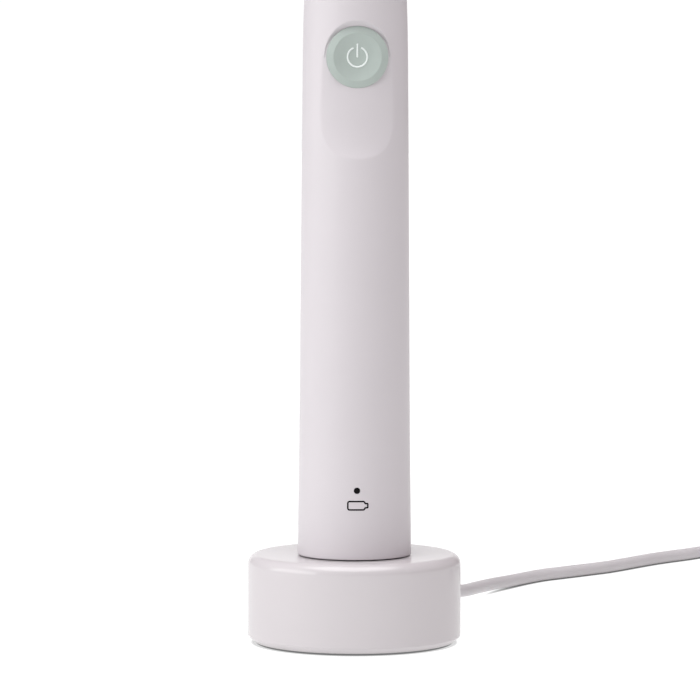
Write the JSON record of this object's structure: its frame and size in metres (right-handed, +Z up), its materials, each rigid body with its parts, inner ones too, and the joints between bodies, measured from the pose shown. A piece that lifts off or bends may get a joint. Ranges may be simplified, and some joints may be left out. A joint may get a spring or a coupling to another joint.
{
  "type": "electric toothbrush on charger",
  "caption": "Slim round sonic toothbrush with a press-on brush head, standing on a round induction charger puck with a thin USB lead.",
  "frame": {"origin": "centre of the charger's underside, on the surface that it stands on", "axes": "+Z up along the handle's axis; -Y is the front, where the power button and the bristles face; +X is to the right of the front"},
  "size_m": [0.199, 0.2239, 0.2785],
  "materials": {
    "white_gloss": "glossy moulded ABS",
    "white_soft": "satin moulded plastic",
    "mint": "satin soft-touch elastomer",
    "grey_plastic": "matt",
    "black_lens": "smoked light pipe",
    "rubber": "matt",
    "board_green": "solder mask",
    "chip_black": "matt",
    "copper": "enamelled wire",
    "ferrite": "matt sintered",
    "steel": "brushed",
    "bronze": "sintered",
    "cell_blue": "shrink sleeve",
    "bristle_white": "nylon filament",
    "cable_white": "satin cable jacket"
  },
  "bodies": {
    "charger": {"charger_housing": "white_gloss", "charger_base_plate": "white_soft", "foot_pad_1": "rubber", "foot_pad_2": "rubber", "foot_pad_3": "rubber", "foot_pad_4": "rubber", "charger_board": "board_green", "coil_bobbin": "grey_plastic", "primary_coil": "copper", "ferrite_core": "ferrite", "smoothing_capacitor": "chip_black", "filter_choke": "ferrite", "charger_chip": "chip_black", "strain_relief": "cable_white", "cord": "cable_white", "cord_coil": "cable_white", "coil_tie": "rubber", "cord_tail": "cable_white", "plug_overmould": "white_soft", "plug_shell": "steel", "plug_tongue": "white_soft"},
    "handle": {"handle_shell": "white_gloss", "end_cap": "white_soft", "end_cap_seal": "rubber", "receiver_coil": "copper", "carrier": "grey_plastic", "battery_cell": "cell_blue", "battery_tab_lower": "steel", "battery_tab_upper": "steel", "main_board": "board_green", "control_chip": "chip_black", "motor_driver_chip": "chip_black", "charge_led": "bristle_white", "charge_light_guide": "black_lens", "switch_body": "chip_black", "stator_core": "ferrite", "drive_coil": "copper", "lower_bush": "bronze", "upper_bush": "bronze", "lower_bush_plate": "grey_plastic", "upper_bush_sleeve": "grey_plastic", "return_spring": "steel", "shaft_seal": "rubber"},
    "button": {"power_button": "mint"},
    "plunger": {"switch_plunger": "chip_black"},
    "drive": {"drive_shaft": "steel", "rotor": "steel", "rotor_magnet_left": "steel", "rotor_magnet_right": "steel", "shaft_collar": "steel"},
    "brush_head": {"collar_ring": "mint", "brush_neck": "white_gloss", "shaft_clip": "steel", "bristles_outer": "bristle_white", "bristles_inner": "mint"}
  },
  "joints": [
    {"name": "handle_lift", "type": "slide", "parent": "charger", "child": "handle", "axis": [0, 0, 1], "range_m": [0, 0.04]},
    {"name": "button_press", "type": "slide", "parent": "handle", "child": "button", "axis": [0, 1, 0], "range_m": [0, 0.0005], "stiffness_N_per_m": 1500},
    {"name": "plunger_press", "type": "slide", "parent": "handle", "child": "plunger", "axis": [0, 1, 0], "range_m": [0, 0.0005]},
    {"name": "drive_oscillation", "type": "hinge", "parent": "handle", "child": "drive", "pos_m": [0, 0, 0.15], "axis": [0, 0, 1], "range_deg": [-9, 9], "stiffness_Nm_per_rad": 0.05},
    {"name": "head_pull_off", "type": "slide", "parent": "drive", "child": "brush_head", "axis": [0, 0, 1], "range_m": [0, 0.024]}
  ],
  "couplings": [
    {"joint": "plunger_press", "follows": "button_press", "ratio": 1}
  ]
}
